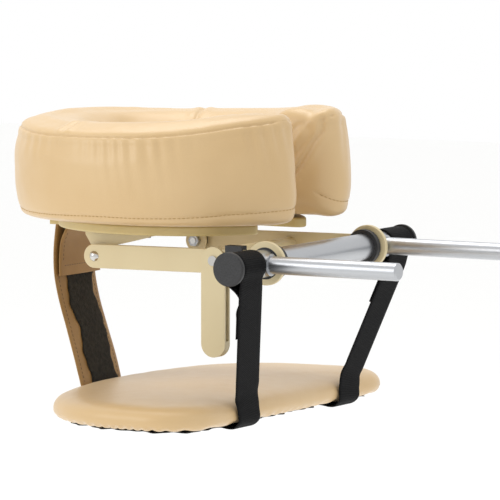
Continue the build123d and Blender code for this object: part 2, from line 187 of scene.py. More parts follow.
def skin_mesh(name, points, faces, smooth=True):
    mesh = bpy.data.meshes.new(name)
    mesh.from_pydata([tuple(p) for p in points], [], faces)
    mesh.polygons.foreach_set("use_smooth", [smooth] * len(mesh.polygons))
    piece = bpy.data.objects.new(name, mesh)
    bpy.context.scene.collection.objects.link(piece)
    return piece


# heights round the horseshoe, from a tip (0 degrees) to the forehead (180 degrees)
ROUND = [0, 20, 30, 41, 57, 75, 96, 116, 150, 180]
SEAM_Z = [0.0945, 0.093, 0.0915, 0.0893, 0.0845, 0.0805, 0.0790, 0.0788, 0.0820, 0.0830]
CREST_Z = [0.1010, 0.1005, 0.0992, 0.0970, 0.0935, 0.0905, 0.0895, 0.0900, 0.0925, 0.0930]


def profile(angle, width):
    # one cut through the limb: across from the face hole's wall (0) to the outside (width), and up;
    # it starts at the seam, so that a column of corners runs along the seam
    seam = float(spread(ROUND, SEAM_Z, angle))
    crest = float(spread(ROUND, CREST_Z, angle))
    lean = 0.008 * max(0.0, 1 - angle / 45)
    w = width
    return [(w - 0.0034, seam), (w - 0.0085, seam + 0.0050),
            (w - 0.0200, crest - 0.0022), (w - 0.0380, crest), (w - 0.0540, crest - 0.0030),
            (w - 0.0680, crest - 0.0120), (0.0120, crest - 0.0260), (0.0040, 0.0540),
            (0.0006, 0.0360), (0.0010, 0.0160), (0.0045, 0.0030), (0.0095, 0.0004),
            (w * 0.30, 0.0), (w * 0.5, 0.0), (w * 0.72, 0.0),
            (w - 0.0080 + lean, 0.0004), (w - 0.0035 + lean, 0.0030), (w - 0.0016 + lean, 0.0090),
            (w + 0.0004 + lean, 0.0220), (w + 0.0014 + lean * 0.6, 0.0420), (w + 0.0008 + lean * 0.3, 0.0620),
            (w - 0.0012, seam - 0.010)]


PROFILE_COUNT = 160
STATIONS = 230


def limb_station(share, end_scale, back):
    # share 0..1 runs from the near tip round the forehead to the far tip
    side = -1 if share <= 0.5 else 1
    half = 1 - abs(2 * share - 1)
    outer_start = math.degrees(math.asin(TIP_GAP / CUSHION_WID))
    inner_start = math.degrees(math.asin(TIP_GAP / FACE_WID))
    outer = outer_start + (180 - outer_start) * half
    inner = inner_start + (180 - inner_start) * half
    ox, oy = oval(CUSHION_LEN, CUSHION_WID, math.radians(outer), CUSHION_SQUARE)
    ix, iy = oval(FACE_LEN, FACE_WID, math.radians(inner), 2.0)
    inner_point = np.array([ix, side * iy])
    across = np.array([ox, side * oy]) - inner_point
    width = np.linalg.norm(across)
    across = across / width
    shape = loop_curve(profile(outer, width), PROFILE_COUNT, crowd=0.7)
    wide, tall = end_scale
    r = width / 2 + (shape[:, 0] - width / 2) * wide
    z = 0.046 + (shape[:, 1] - 0.046) * tall
    x = inner_point[0] + across[0] * r
    y = inner_point[1] + across[1] * r + side * back
    return np.stack([x + cushion_centre.x, y, base_z + z], 1)


rows, top_seam = [], []
END_STEPS = 15
ends = []
for k in range(END_STEPS + 1):
    phi = math.radians(90 * k / END_STEPS)
    depth = 1 - math.cos(phi) ** (2 / 2.6)
    tall = (1 - (1 - depth) ** 4.5) ** (1 / 4.5)
    ends.append((math.sin(phi) ** (2 / 2.6), tall, depth * TIP_ROUND))
lead = [(ends[1][0] * f, max(ends[1][1] * f, 0), 0.0) for f in np.linspace(0.08, 0.92, 14)] + ends[1:]
limb_length = 0.60
edge_share = TIP_ROUND / limb_length
for wide, tall, depth in lead:
    rows.append(limb_station(depth / limb_length, (wide, tall), 0))
for share in np.linspace(edge_share, 1 - edge_share, STATIONS)[1:-1]:
    row = limb_station(share, (1, 1), 0)
    rows.append(row)
    top_seam.append(tuple(row[0]))
for wide, tall, depth in lead[::-1]:
    rows.append(limb_station(1 - depth / limb_length, (wide, tall), 0))
grid = np.array(rows)
n_rows, n_cols = grid.shape[:2]
faces = [(i * n_cols + j, i * n_cols + (j + 1) % n_cols, (i + 1) * n_cols + (j + 1) % n_cols, (i + 1) * n_cols + j)
         for i in range(n_rows - 1) for j in range(n_cols)]
faces += [tuple(range(n_cols - 1, -1, -1)), tuple((n_rows - 1) * n_cols + j for j in range(n_cols))]
cover = skin_mesh("cushion_cover", grid.reshape(-1, 3), faces)


def bake(piece):
    # one subdivision, applied
    smoother = piece.modifiers.new("smoother", "SUBSURF")
    smoother.levels = smoother.render_levels = 1
    smoother.use_limit_surface = False
    bpy.context.view_layer.objects.active = piece
    bpy.ops.object.modifier_apply(modifier=smoother.name)


def corners_of(piece):
    co = np.empty(len(piece.data.vertices) * 3)
    piece.data.vertices.foreach_get("co", co)
    return co.reshape(-1, 3)


def normals_of(piece):
    no = np.empty(len(piece.data.vertices) * 3)
    piece.data.vertices.foreach_get("normal", no)
    return no.reshape(-1, 3)


def put_corners(piece, co):
    piece.data.vertices.foreach_set("co", co.ravel())
    piece.data.update()


def dense(path, step=0.001):
    path = np.asarray(path, float)
    run = np.r_[0, np.cumsum(np.linalg.norm(np.diff(path, axis=0), axis=1))]
    want = np.arange(0, run[-1], step)
    return np.stack([np.interp(want, run, path[:, k]) for k in range(3)], 1)


def laid_on(piece, path):
    # the path dropped onto the piece's surface, with the surface's normal at each point
    spots, ups = [], []
    for p in path:
        hit, spot, up, _ = piece.closest_point_on_mesh(Vector(p))
        spots.append(tuple(spot))
        ups.append(tuple(up))
    return np.array(spots), np.array(ups)


def distance_to(co, path):
    tree = KDTree(len(path))
    for k, p in enumerate(path):
        tree.insert(p, k)
    tree.balance()
    return np.array([tree.find(p)[2] for p in co])


def ripple(co, cell, seed):
    return np.array([noise.noise(Vector(p) / cell + Vector((seed, 0, 0))) for p in co])


def swell(piece, pressure, slack, cap, hold, evening):
    # cloth puffed from inside, held where hold is 1, and never moved further than cap;
    # evening rounds of averaging with the neighbours take out the small random crumples
    start = corners_of(piece)
    group = piece.vertex_groups.new(name="held")
    for k in np.nonzero(hold > 0.02)[0]:
        group.add([int(k)], float(hold[k]), "REPLACE")
    cloth = piece.modifiers.new("cloth", "CLOTH")
    cloth.settings.quality = 5
    cloth.settings.mass = 0.25
    cloth.settings.use_pressure = True
    cloth.settings.uniform_pressure_force = pressure
    cloth.settings.effector_weights.gravity = 0
    cloth.settings.vertex_group_mass = "held"
    cloth.settings.shrink_min = -slack
    cloth.settings.tension_stiffness = 30
    cloth.settings.bending_stiffness = 0.4
    cloth.point_cache.frame_start, cloth.point_cache.frame_end = 1, 20
    for tick in range(1, 21):
        bpy.context.scene.frame_set(tick)
    puffed = piece.evaluated_get(bpy.context.evaluated_depsgraph_get())
    end = np.array([v.co for v in puffed.data.vertices], float)
    piece.modifiers.remove(cloth)
    bpy.context.scene.frame_set(1)
    move = end - start
    far = np.linalg.norm(move, axis=1, keepdims=True)
    move *= np.minimum(1, cap / np.maximum(far, 1e-9))
    pairs = np.empty(len(piece.data.edges) * 2, int)
    piece.data.edges.foreach_get("vertices", pairs)
    a, b = pairs[::2], pairs[1::2]
    share = np.bincount(a, minlength=len(move)) + np.bincount(b, minlength=len(move))
    for _ in range(evening):
        total = np.zeros_like(move)
        np.add.at(total, a, move[b])
        np.add.at(total, b, move[a])
        move = 0.4 * move + 0.6 * total / share[:, None]
    put_corners(piece, start + move * (1 - hold[:, None]))


# the top seam runs round the outside, then slants down each tip's inner face
TIP_SEAM = [(-0.0185, 0.0925), (-0.0200, 0.0800), (-0.0315, 0.0690), (-0.0445, 0.0490), (-0.0620, 0.0270), (-0.0780, 0.0110)]
face_y = TIP_GAP / 2
near_end = [(x, -face_y, base_z + z) for x, z in TIP_SEAM[::-1]]
far_end = [(x, face_y, base_z + z) for x, z in TIP_SEAM]
seam_line = near_end + top_seam + far_end

co = corners_of(cover)
near_seam = distance_to(co, dense(seam_line, 0.004))
low = np.clip((co[:, 2] - base_z) / 0.012, 0, 1)
keep = np.clip(1 - near_seam / 0.010, 0, 1)
swell(cover, pressure=4.0, slack=0.006, cap=0.0050, hold=np.maximum(keep, 1 - low),
      evening=16)
bake(cover)

co, up = corners_of(cover), normals_of(cover)
angle = np.degrees(np.arctan2(np.abs(co[:, 1]) / (CUSHION_WID / 2), (co[:, 0] - cushion_centre.x) / (CUSHION_LEN / 2)))
near_side = co[:, 1] < 0
seam_here = base_z + spread(ROUND, SEAM_Z, angle)
below = seam_here - co[:, 2]
outward = (up[:, 0] * (co[:, 0] - cushion_centre.x) + up[:, 1] * co[:, 1])
outward /= np.maximum(np.hypot(co[:, 0] - cushion_centre.x, co[:, 1]), 1e-6)
on_band = np.clip((outward - 0.2) / 0.4, 0, 1) * (below > -0.001)

# gathers under the top seam: place round the horseshoe in degrees, width in degrees, length, depth
GATHERS = [(100, 1.1, 0.016, 0.0006), (96, 1.0, 0.018, 0.0007), (91.5, 1.0, 0.026, 0.0012), (87.5, 1.1, 0.030, 0.0012),
           (83.5, 0.9, 0.022, 0.0011), (79.3, 1.2, 0.034, 0.0014), (73.3, 1.3, 0.032, 0.0014), (68.4, 1.0, 0.024, 0.0012),
           (63.2, 1.1, 0.022, 0.0010), (57.0, 1.2, 0.014, 0.0006), (36.0, 1.8, 0.030, 0.0021), (31.5, 1.6, 0.036, 0.0028),
           (26.5, 1.2, 0.020, 0.0015), (21.0, 2.0, 0.034, 0.0018), (110, 1.2, 0.014, 0.0008), (116, 1.6, 0.016, 0.0011),
           (121, 1.3, 0.013, 0.0009), (127, 1.6, 0.014, 0.0009), (140, 1.8, 0.012, 0.0006), (152, 1.6, 0.014, 0.0006)]
push = np.zeros(len(co))
for place, wide, length, depth in GATHERS:
    for side in (True, False):
        at = place if side else place * 0.985 + 1.7
        drift_down = at - below * 60
        gap = (angle - drift_down) / wide
        fade = np.exp(-np.clip(below / length, 0, 9) ** 1.5) * (0.25 + 0.75 * np.clip(below / 0.007, 0, 1))
        fold = np.exp(-gap**2) - 0.45 * np.exp(-((np.abs(gap) - 2.0) / 0.9) ** 2)
        push -= 0.75 * depth * fold * fade * on_band * (near_side == side)

BASE_SEAM_Z = 0.0085
middle = grid[n_rows // 2]
outer_half = np.hypot(middle[:, 0] - cushion_centre.x, middle[:, 1]) > 0.14
base_column = int(np.argmin(np.abs(middle[:, 2] - base_z - BASE_SEAM_Z) + (~outer_half)))
base_seam = [tuple(row[base_column]) for row in rows[17:-17]]
base_path, _ = laid_on(cover, dense(base_seam, 0.002))
near = distance_to(co, dense(seam_line))
push += -0.0011 * np.exp(-(near / 0.0012) ** 2) + 0.0003 * np.exp(-((near - 0.0050) / 0.0030) ** 2)
for tip_path in (near_end, far_end):
    away = distance_to(co, laid_on(cover, dense(tip_path, 0.001))[0])
    lower_lip = np.clip((away - 0.001) / 0.002, 0, 1) * np.exp(-((away - 0.005) / 0.004) ** 2)
    push += -0.0013 * np.exp(-(away / 0.0021) ** 2) + 0.0009 * lower_lip
low_seam = distance_to(co, base_path)
push += -0.0010 * np.exp(-(low_seam / 0.0016) ** 2)

# cross seams join the forehead piece of the top panel to the two cheek pieces
CROSS_ANGLE = 107
for side in (-1, 1):
    share = 0.5 + side * 0.5 * (1 - (CROSS_ANGLE - 8.7) / (180 - 8.7))
    row = limb_station(share, (1, 1), 0)
    top = row[(row[:, 2] > base_z + 0.030)]
    inside = np.hypot(top[:, 0] - cushion_centre.x, top[:, 1]) < 0.139
    away = distance_to(co, dense(sorted(top[inside].tolist(), key=lambda p: math.hypot(p[0] - cushion_centre.x, p[1]))))
    push += -0.0013 * np.exp(-(away / 0.0016) ** 2) + 0.0010 * np.exp(-((away - 0.006) / 0.004) ** 2)
    # slack folds that run down the tip from the end of the seam
    for (x0, z0), (x1, z1), rise in (((-0.044, 0.0760), (-0.072, 0.0440), 0.0014),):
        fold = dense([(x0, side * face_y, base_z + z0), (x1, side * face_y, base_z + z1)], 0.002)
        away = distance_to(co, laid_on(cover, fold)[0])
        push += rise * np.exp(-(away / 0.0042) ** 2) - rise * 0.7 * np.exp(-((away - 0.0085) / 0.0035) ** 2)

soft = (co[:, 2] - base_z > 0.002)
push += soft * (0.0009 * ripple(co, 0.055, 3.1) + 0.00022 * ripple(co, 0.014, 8.4))
put_corners(cover, co + up * push[:, None])
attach(cover, "cushion")
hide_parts("cushion_top_panel", "cushion_side_band", "cushion_base_panel", "cushion_base_foam",
            "cushion_memory_foam")


def stitching(name, path, ups, pitch, length, thick):
    # a row of thread dashes, each a six-sided rod with pinched ends, half sunk in the surface
    points, faces = [], []
    run = np.r_[0, np.cumsum(np.linalg.norm(np.diff(path, axis=0), axis=1))]
    for start in np.arange(pitch / 2, run[-1] - length, pitch):
        a, b = (np.array([np.interp(start + d, run, path[:, k]) for k in range(3)]) for d in (0, length))
        lift = np.array([np.interp(start, run, ups[:, k]) for k in range(3)])
        along = (b - a) / max(np.linalg.norm(b - a), 1e-9)
        side = np.cross(lift, along)
        first = len(points)
        for f, fat in ((0, 0.35), (0.25, 1), (0.75, 1), (1, 0.35)):
            for k in range(6):
                t = k * math.pi / 3
                points.append(a + (b - a) * f + thick / 2 * fat * (math.cos(t) * side + math.sin(t) * lift)
                              + lift * thick * 0.15)
        for ring in range(3):
            for k in range(6):
                p, q = first + ring * 6 + k, first + ring * 6 + (k + 1) % 6
                faces.append((p, q, q + 6, p + 6))
        faces.append(tuple(first + k for k in range(5, -1, -1)))
        faces.append(tuple(first + 18 + k for k in range(6)))
    return skin_mesh(name, points, faces)


base_path, base_ups = laid_on(cover, dense(base_seam, 0.002))
base_thread = stitching("cushion_base_stitching", base_path, base_ups, 0.0042, 0.0030, 0.0008)
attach(base_thread, "cushion")

# Bonded polyester sewing thread: a tight shiny twist, one shade darker than the cover.
thread = new_material("tan_polyester_thread")
thread_where = add(thread, "TexCoord").outputs["Object"]
twist = add(thread, "TexWave", {"Vector": thread_where, "Scale": 900.0, "Distortion": 1.0})
thread_bump = add(thread, "Bump", {"Height": twist.outputs["Fac"], "Strength": 0.3, "Distance": 0.0002})
finish_material(thread, add(thread, "BsdfPrincipled", {
    "Base Color": linear("#B08F58"), "Roughness": 0.5, "Normal": thread_bump.outputs["Normal"]}))
base_thread.data.materials.append(thread)

# Polyurethane leatherette, embossed with a fine pebble and satin finished: soft broad
# highlights, and tone that shifts slightly over a hand's breadth.
leatherette = new_material("sand_embossed_leatherette")
where = add(leatherette, "TexCoord").outputs["Object"]
GRAIN_MM = 1.6      # real grain is near 0.8 mm, drawn coarser so that it shows
pebble = add(leatherette, "TexVoronoi", {"Vector": where, "Scale": 1000 / GRAIN_MM}, feature="DISTANCE_TO_EDGE")
drift = add(leatherette, "TexNoise", {"Vector": where, "Scale": 9.0, "Detail": 3.0})
tone = add(leatherette, "ValToRGB", {"Fac": drift.outputs["Fac"]}, stops=[(0.3, "#C5A677"), (0.7, "#CCAF83")]).outputs["Color"]
creases = add(leatherette, "TexNoise", {"Vector": where, "Scale": 90.0, "Detail": 4.0})
height = add(leatherette, "Math", {0: pebble.outputs["Distance"], 1: creases.outputs["Fac"]}, operation="ADD")
rough = add(leatherette, "MapRange", {"Value": creases.outputs["Fac"], "To Min": 0.30, "To Max": 0.42})
grain = add(leatherette, "Bump", {"Height": height.outputs[0], "Strength": 0.18, "Distance": 0.0006})
finish_material(leatherette, add(leatherette, "BsdfPrincipled", {
    "Base Color": tone, "Roughness": rough.outputs[0], "Normal": grain.outputs["Normal"], "IOR": 1.48,
    "Sheen Weight": 0.08, "Sheen Roughness": 0.5}))
cover.data.materials.append(leatherette)


# ---------------------------------------------------------------- hook and loop on the cushion's underside
# Two sewn strips of black loop pile meet two stuck strips of moulded hooks on the platform.

hook_loop = new_material("black_hook_and_loop_pile")
pile_where = add(hook_loop, "TexCoord").outputs["Object"]
PILE_MM = 1.2
pile = add(hook_loop, "TexVoronoi", {"Vector": pile_where, "Scale": 1000 / PILE_MM})
fuzz = add(hook_loop, "TexNoise", {"Vector": pile_where, "Scale": 260.0, "Detail": 5.0})
pile_tone = add(hook_loop, "ValToRGB", {"Fac": fuzz.outputs["Fac"]}, stops=[(0.3, "#1A1813"), (0.75, "#35312A")]).outputs["Color"]
pile_bump = add(hook_loop, "Bump", {"Height": pile.outputs["Distance"], "Strength": 0.6, "Distance": 0.0008})
finish_material(hook_loop, add(hook_loop, "BsdfPrincipled", {
    "Base Color": pile_tone, "Roughness": 0.95, "Specular IOR Level": 0.2, "Normal": pile_bump.outputs["Normal"],
    "Sheen Weight": 0.05, "Sheen Roughness": 0.6}))


def refinish(material, *names):
    for name in names:
        mesh = nodes[name].data
        mesh.materials.clear()
        mesh.materials.append(material)


refinish(hook_loop, "cushion_loop_strips", "platform_hook_strips")


# ---------------------------------------------------------------- arm shelf pad
# Plywood board with a foam top, wrapped in the same leatherette: it rolls over the rim and is
# pleated and stapled underneath, where a black dust cloth covers the board.

pad_low, pad_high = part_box("shelf_cover")
PAD_BOW = 0.050
PAD_FRONT_ROUND, PAD_REAR_ROUND = 0.115, 0.050


def pad_outline(count):
    # straight rear edge, tight rear corners, straight ends, wide front corners and a bowed front
    half = (pad_high.y - pad_low.y) / 2
    front, rear = pad_low.x + PAD_BOW, pad_high.x
    corner_y = half - PAD_FRONT_ROUND
    lean = math.atan(2 * PAD_BOW * corner_y / half**2)
    join_y = corner_y + PAD_FRONT_ROUND * math.sin(lean)
    join_x = front - PAD_BOW * (1 - (join_y / half) ** 2)
    corner_x = join_x + PAD_FRONT_ROUND * math.cos(lean)
    points = [(rear, y) for y in np.linspace(0, half - PAD_REAR_ROUND, 8)]
    for a in np.radians(np.linspace(6, 90, 12)):
        points.append((rear - PAD_REAR_ROUND * (1 - math.cos(a)), half - PAD_REAR_ROUND * (1 - math.sin(a))))
    side_from = points[-1][0]
    for f in (0.25, 0.5, 0.75):
        points.append((side_from * (1 - f) + corner_x * f, half))
    for a in np.linspace(math.pi / 2, math.pi - lean, 14):
        points.append((corner_x + PAD_FRONT_ROUND * math.cos(a), corner_y + PAD_FRONT_ROUND * math.sin(a)))
    for y in np.linspace(join_y * 0.9, 0, 9):
        points.append((front - PAD_BOW * (1 - (y / half) ** 2), y))
    points += [(x, -y) for x, y in points[-2:0:-1]]
    return loop_curve(points, count)


EDGE_COUNT = 300
edge = pad_outline(EDGE_COUNT)
ahead_of = np.roll(edge, -1, axis=0) - np.roll(edge, 1, axis=0)
out_of = np.stack([ahead_of[:, 1], -ahead_of[:, 0]], 1)
out_of /= np.linalg.norm(out_of, axis=1, keepdims=True)
pad_centre = np.array([(pad_low.x + pad_high.x) / 2, 0])
RIM = [(0.0200, 0.0), (0.0120, 0.0), (0.0070, 0.0005), (0.0035, 0.0018), (0.0010, 0.0045),
       (0.0, 0.0080), (0.0002, 0.0115), (0.0018, 0.0150), (0.0052, 0.0182), (0.0105, 0.0204), (0.0180, 0.0218)]
PAD_TOP = 0.0262
pad_rows = []
inner = edge - out_of * RIM[0][0]
for f in (0.05, 0.3, 0.55, 0.75, 0.90):
    pad_rows.append(np.c_[pad_centre + (inner - pad_centre) * f, np.full(EDGE_COUNT, pad_low.z)])
for inset, rise in RIM:
    pad_rows.append(np.c_[edge - out_of * inset, np.full(EDGE_COUNT, pad_low.z + rise)])
inner = edge - out_of * RIM[-1][0]
for f in np.linspace(0.95, 0.05, 17):
    crown = pad_low.z + RIM[-1][1] + (PAD_TOP - RIM[-1][1]) * (1 - f**2)
    pad_rows.append(np.c_[pad_centre + (inner - pad_centre) * f, np.full(EDGE_COUNT, crown)])
pad_grid = np.array(pad_rows)
pad_faces = [(i * EDGE_COUNT + j, i * EDGE_COUNT + (j + 1) % EDGE_COUNT, (i + 1) * EDGE_COUNT + (j + 1) % EDGE_COUNT,
              (i + 1) * EDGE_COUNT + j) for i in range(len(pad_rows) - 1) for j in range(EDGE_COUNT)]
pad_faces.append(tuple(range(EDGE_COUNT - 1, -1, -1)))
pad_faces.append(tuple((len(pad_rows) - 1) * EDGE_COUNT + j for j in range(EDGE_COUNT)))
pad = skin_mesh("shelf_pad", pad_grid.reshape(-1, 3), pad_faces)
bake(pad)
co, up = corners_of(pad), normals_of(pad)
run_round = np.arctan2(co[:, 1] / 0.19, (co[:, 0] - pad_centre[0]) / 0.10)
from_middle = np.hypot((co[:, 0] - pad_centre[0]) / 0.103, co[:, 1] / 0.194)
underneath = (up[:, 2] < -0.5) & (from_middle > 0.72)
pleats = np.abs(np.sin(run_round * 31 + 2.2 * np.sin(run_round * 5))) ** 3
push = -0.0012 * pleats * underneath
rim_pull = np.exp(-((co[:, 2] - pad_low.z - 0.004) / 0.004) ** 2)
push += rim_pull * 0.0006 * ripple(co, 0.016, 2.0)
push += (up[:, 2] > -0.2) * (0.0011 * ripple(co, 0.080, 5.5) + 0.00018 * ripple(co, 0.016, 1.2))
put_corners(pad, co + up * push[:, None])
pad.data.materials.append(leatherette)
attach(pad, "arm_shelf")
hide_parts("shelf_cover", "shelf_foam", "shelf_board")

# the dust cloth is stapled a finger's width inside the rim, with a loose, uneven edge
CLOTH_INSET = 0.013
cloth_rows = []
wave = 0.0022 * np.sin(np.arange(EDGE_COUNT) * 0.42) + 0.0016 * np.sin(np.arange(EDGE_COUNT) * 1.13 + 1)
for k, f in enumerate((1.0, 0.97, 0.93, 0.85, 0.7, 0.5, 0.25, 0.05)):
    rim_line = edge - out_of * (CLOTH_INSET + (wave if k == 0 else 0 * wave))[:, None]
    drop = 0.0004 + (0.0010 * np.abs(np.sin(np.arange(EDGE_COUNT) * 0.31)) if k < 2 else 0.0002) * np.ones(EDGE_COUNT)
    cloth_rows.append(np.c_[pad_centre + (rim_line - pad_centre) * f, pad_low.z - drop])
cloth_grid = np.array(cloth_rows)
cloth_faces = [(i * EDGE_COUNT + j, (i + 1) * EDGE_COUNT + j, (i + 1) * EDGE_COUNT + (j + 1) % EDGE_COUNT,
                i * EDGE_COUNT + (j + 1) % EDGE_COUNT) for i in range(len(cloth_rows) - 1) for j in range(EDGE_COUNT)]
cloth_faces.append(tuple((len(cloth_rows) - 1) * EDGE_COUNT + j for j in range(EDGE_COUNT)))
dust_cloth = skin_mesh("shelf_dust_cloth_sheet", cloth_grid.reshape(-1, 3), cloth_faces)
thick = dust_cloth.modifiers.new("thick", "SOLIDIFY")
thick.thickness = 0.0005
thick.offset = 0

# Spun-bonded polypropylene cloth: matt black with a faint dimpled weld pattern.
dust_black = new_material("black_spunbond_dust_cloth")
cloth_where = add(dust_black, "TexCoord").outputs["Object"]
WELD_MM = 2.0
weld = add(dust_black, "TexVoronoi", {"Vector": cloth_where, "Scale": 1000 / WELD_MM})
lint = add(dust_black, "TexNoise", {"Vector": cloth_where, "Scale": 60.0, "Detail": 4.0})
cloth_tone = add(dust_black, "ValToRGB", {"Fac": lint.outputs["Fac"]}, stops=[(0.3, "#0F0F10"), (0.8, "#232324")]).outputs["Color"]
cloth_bump = add(dust_black, "Bump", {"Height": weld.outputs["Distance"], "Strength": 0.4, "Distance": 0.0005})
finish_material(dust_black, add(dust_black, "BsdfPrincipled", {
    "Base Color": cloth_tone, "Roughness": 0.9, "Normal": cloth_bump.outputs["Normal"]}))
dust_cloth.data.materials.append(dust_black)
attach(dust_cloth, "arm_shelf")
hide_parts("shelf_dust_cloth")


# ---------------------------------------------------------------- front strap
# Doubled leatherette strap with stitched edges. It hangs from a steel bar in the platform's
# front edge, turns back as a flap, and grips itself with a strip of loop pile.

bar_low, bar_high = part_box("strap_bar")
bar_x, bar_z = (bar_low.x + bar_high.x) / 2, (bar_low.z + bar_high.z) / 2
STRAP_WIDE, STRAP_THICK = 0.070, 0.0018
strap_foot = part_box("front_strap")[0].z
pad_front = pad_low.x


def band_mesh(name, line, half_widths, thick, across_count=22, sideways=None, shifts=None):
    # a flat band with rounded edges along a line, with a map of its width and length in metres
    line = np.asarray(line, float)
    along = np.gradient(line, axis=0)
    along /= np.linalg.norm(along, axis=1, keepdims=True)
    wide = np.tile((0.0, 1.0, 0.0), (len(line), 1)) if sideways is None else sideways
    wide = wide - (wide * along).sum(1, keepdims=True) * along
    wide /= np.linalg.norm(wide, axis=1, keepdims=True)
    lift = np.cross(along, wide)
    u = np.linspace(-1, 1, across_count)
    ring = [(k, 1) for k in u] + [(1.0, 0)] + [(k, -1) for k in u[::-1]] + [(-1.0, 0)]
    run = np.r_[0, np.cumsum(np.linalg.norm(np.diff(line, axis=0), axis=1))]
    points, flat = [], []
    for i, p in enumerate(line):
        for k, side in ring:
            soft_edge = 0.55 if abs(k) > 0.97 else 1
            inset = 1 if side == 0 else 0.992
            shift = 0 if shifts is None else shifts[i]
            points.append(p + wide[i] * (half_widths[i] * k * inset + shift) + lift[i] * side * thick / 2 * soft_edge)
            flat.append((k * half_widths[i], run[i]))
    n = len(ring)
    faces = [(i * n + j, i * n + (j + 1) % n, (i + 1) * n + (j + 1) % n, (i + 1) * n + j)
             for i in range(len(line) - 1) for j in range(n)]
    faces += [tuple(range(n - 1, -1, -1)), tuple((len(line) - 1) * n + j for j in range(n))]
    piece = skin_mesh(name, points, faces)
    layer = piece.data.uv_layers.new(name="cut")
    for loop in piece.data.loops:
        layer.data[loop.index].uv = flat[loop.vertex_index]
    return piece, line, wide, lift


turn_r = 0.0042
hang = [(pad_front - 0.0021, strap_foot), (pad_front - 0.0100, -0.115), (pad_front - 0.0205, -0.082),
        (pad_front - 0.0300, -0.052), (bar_x - 0.0056, -0.030), (bar_x - 0.0066, -0.006), (bar_x - 0.0054, 0.012),
        (bar_x - turn_r, bar_z - 0.002)]
over = [(bar_x - turn_r * math.cos(a), bar_z + turn_r * math.sin(a)) for a in np.radians((25, 60, 90, 120, 155))]
flap = [(bar_x + turn_r, bar_z - 0.002), (bar_x + 0.0030, 0.014), (bar_x - 0.0006, 0.004), (bar_x - 0.0020, -0.008),
        (bar_x - 0.0018, -0.022), (bar_x - 0.0012, -0.0300)]
strap_line = loop_curve([(x, z) for x, z in hang + over + flap], 210, closed=False)
strap_line = np.stack([strap_line[:, 0], np.zeros(len(strap_line)), strap_line[:, 1]], 1)
run = np.r_[0, np.cumsum(np.linalg.norm(np.diff(strap_line, axis=0), axis=1))]
half_widths = np.full(len(run), STRAP_WIDE / 2) + 0.0006 * np.sin(run * 55)
at_turn = np.exp(-((run - run[np.argmax(strap_line[:, 2])] - 0.008) / 0.010) ** 2)
half_widths -= 0.0035 * at_turn
shifts = np.where(run > run[np.argmax(strap_line[:, 2])], 0.0022, 0.0)
strap, line, wide, lift = band_mesh("front_strap_band", strap_line, half_widths, STRAP_THICK, shifts=shifts)
co = corners_of(strap)
co[:, 0] += 0.0009 * np.sin(co[:, 1] * 70 + 1.0) * np.clip((0.01 - co[:, 2]) / 0.06, 0, 1) * np.clip((co[:, 2] + 0.147) / 0.03, 0, 1)
put_corners(strap, co)
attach(strap, "front_strap")
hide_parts("front_strap")

# The strap is the cover's leatherette. Its colour is painted darker and a little browner, as painted shade for where it
# hangs under the platform.
strap_painted_shade = new_material("strap_leatherette_painted_shade")
strap_where = add(strap_painted_shade, "TexCoord").outputs["Object"]
strap_drift = add(strap_painted_shade, "TexNoise", {"Vector": strap_where, "Scale": 22.0, "Detail": 4.0})
# these stops are the cover's tan painted darker: painted shade, not a different leather
strap_painted_shade_tone = add(strap_painted_shade, "ValToRGB", {"Fac": strap_drift.outputs["Fac"]}, stops=[(0.3, "#93703F"), (0.7, "#A78350")]).outputs["Color"]
strap_grain = add(strap_painted_shade, "TexVoronoi", {"Vector": strap_where, "Scale": 1000 / GRAIN_MM}, feature="DISTANCE_TO_EDGE")
strap_bump = add(strap_painted_shade, "Bump", {"Height": strap_grain.outputs["Distance"], "Strength": 0.25, "Distance": 0.0006})
finish_material(strap_painted_shade, add(strap_painted_shade, "BsdfPrincipled", {
    "Base Color": strap_painted_shade_tone, "Roughness": 0.55, "Normal": strap_bump.outputs["Normal"], "IOR": 1.48}))
strap.data.materials.append(strap_painted_shade)
refinish(strap_painted_shade, "front_strap_tail")

seam_inset = 0.0058
top_row = int(np.argmax(strap_line[:, 2]))
# Waxed brown polyester thread: the same shiny twist, dark against the strap.
brown_thread = new_material("waxed_brown_thread")
brown_where = add(brown_thread, "TexCoord").outputs["Object"]
brown_twist = add(brown_thread, "TexWave", {"Vector": brown_where, "Scale": 900.0, "Distortion": 1.0})
brown_bump = add(brown_thread, "Bump", {"Height": brown_twist.outputs["Fac"], "Strength": 0.3, "Distance": 0.0002})
finish_material(brown_thread, add(brown_thread, "BsdfPrincipled", {
    "Base Color": linear("#4E3A20"), "Roughness": 0.45, "Normal": brown_bump.outputs["Normal"]}))

threads = []
for first, last in ((4, top_row - 46), (top_row + 16, len(run) - 9)):
    rows_used = np.arange(first, last)
    for k in (-1, 1):
        reach = k * (half_widths[rows_used, None] - seam_inset) + shifts[rows_used, None]
        for face_side in (-1, 1):
            threads.append((strap_line[rows_used] + wide[rows_used] * reach, rows_used, face_side))
for number, (path, rows_used, face_side) in enumerate(threads):
    spots, ups = laid_on(strap, path + lift[rows_used] * STRAP_THICK * 0.55 * face_side)
    piece = stitching(f"strap_stitching_{number}", spots, ups, 0.0040, 0.0028, 0.0008)
    piece.data.materials.append(brown_thread)
    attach(piece, "front_strap")
end_row = len(run) - 9
ends_y = np.linspace(-STRAP_WIDE / 2 + seam_inset, STRAP_WIDE / 2 - seam_inset, 40)
for number, face_side in enumerate((1, -1)):
    path = np.stack([strap_line[end_row] + wide[end_row] * (y + shifts[end_row]) for y in ends_y])
    spots, ups = laid_on(strap, path + lift[end_row] * STRAP_THICK * 0.55 * face_side)
    piece = stitching(f"flap_end_stitching_{number}", spots, ups, 0.0040, 0.0028, 0.0008)
    piece.data.materials.append(brown_thread)
    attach(piece, "front_strap")

